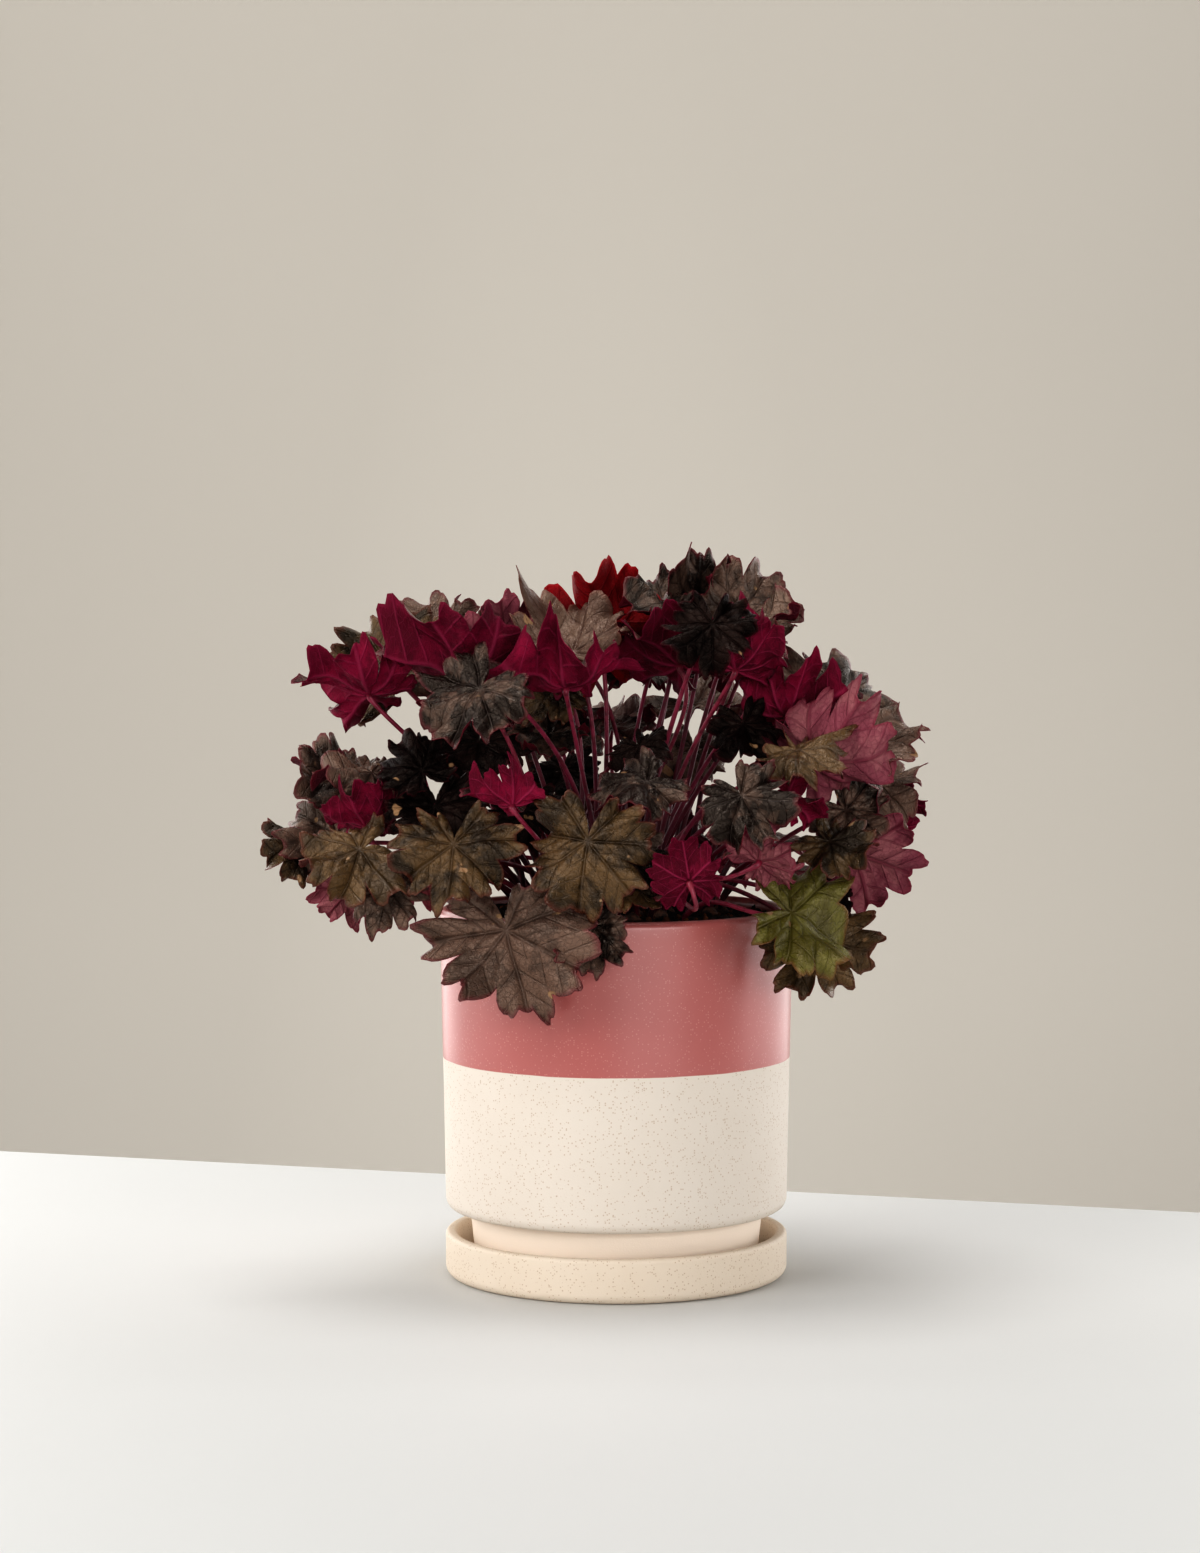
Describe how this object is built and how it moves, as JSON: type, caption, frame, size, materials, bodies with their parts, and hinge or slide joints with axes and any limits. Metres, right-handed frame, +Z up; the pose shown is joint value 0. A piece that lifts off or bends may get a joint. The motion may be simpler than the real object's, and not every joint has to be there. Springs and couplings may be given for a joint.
{
  "type": "potted heuchera plant",
  "caption": "Mounded heuchera with lobed, ruffled dark bronze and wine leaves on thin red stalks, in a round two-tone stoneware pot on a shallow saucer.",
  "frame": {"origin": "centre of the saucer's underside, on the surface that it stands on", "axes": "+Z up the pot's axis, -Y towards the side that faces the viewer, +X to the viewer's right"},
  "size_m": [0.3084, 0.2454, 0.3365],
  "materials": {
    "foliage": "dark bronze upper face with a low sheen, wine underside",
    "wine_foliage": "wine underside seen against the light, low sheen",
    "olive_foliage": "olive brown upper face with a low sheen",
    "green_foliage": "young green upper face with a low sheen",
    "pot": "satin pink glaze above, bare cream speckled stoneware below",
    "saucer": "matt speckled cream stoneware",
    "soil": "loose dark potting soil with bark"
  },
  "bodies": {
    "root": {"leaf_01": "wine_foliage", "leaf_02": "wine_foliage", "leaf_03": "olive_foliage", "leaf_04": "wine_foliage", "leaf_05": "foliage", "leaf_06": "olive_foliage", "leaf_07": "wine_foliage", "leaf_08": "foliage", "leaf_09": "green_foliage", "leaf_12": "wine_foliage", "leaf_13": "foliage", "leaf_15": "foliage", "leaf_17": "olive_foliage", "leaf_18": "wine_foliage", "leaf_20": "foliage", "leaf_22": "foliage", "leaf_24": "wine_foliage", "leaf_25": "wine_foliage", "leaf_27": "wine_foliage", "leaf_28": "wine_foliage", "leaf_29": "foliage", "leaf_33": "foliage", "leaf_34": "wine_foliage", "leaf_35": "olive_foliage", "leaf_42": "foliage", "leaf_45": "olive_foliage", "leaf_47": "foliage", "leaf_48": "foliage", "leaf_pair_10": "wine_foliage", "leaf_pair_11": "foliage", "leaf_pair_14": "wine_foliage", "leaf_pair_16": "wine_foliage", "leaf_pair_19": "olive_foliage", "leaf_pair_21": "foliage", "leaf_pair_23": "foliage", "leaf_pair_26": "foliage", "leaf_pair_30": "foliage", "leaf_pair_31": "olive_foliage", "leaf_pair_32": "foliage", "leaf_pair_36": "foliage", "leaf_pair_37": "olive_foliage", "leaf_pair_39": "foliage", "leaf_pair_40": "foliage", "leaf_pair_41": "foliage", "leaf_pair_43": "foliage", "leaf_pair_44": "wine_foliage", "leaf_pair_46": "foliage", "leaf_pair_49": "olive_foliage", "leaf_pair_50": "foliage", "leaf_pair_51": "wine_foliage", "leaf_pair_52": "olive_foliage", "leaf_pair_53": "foliage", "leaf_pair_54": "wine_foliage", "leaf_pair_55": "olive_foliage", "leaf_pair_56": "foliage", "leaf_pair_57": "wine_foliage", "leaf_pair_58": "olive_foliage", "pot": "pot", "saucer": "saucer", "soil": "soil"}
  },
  "joints": []
}
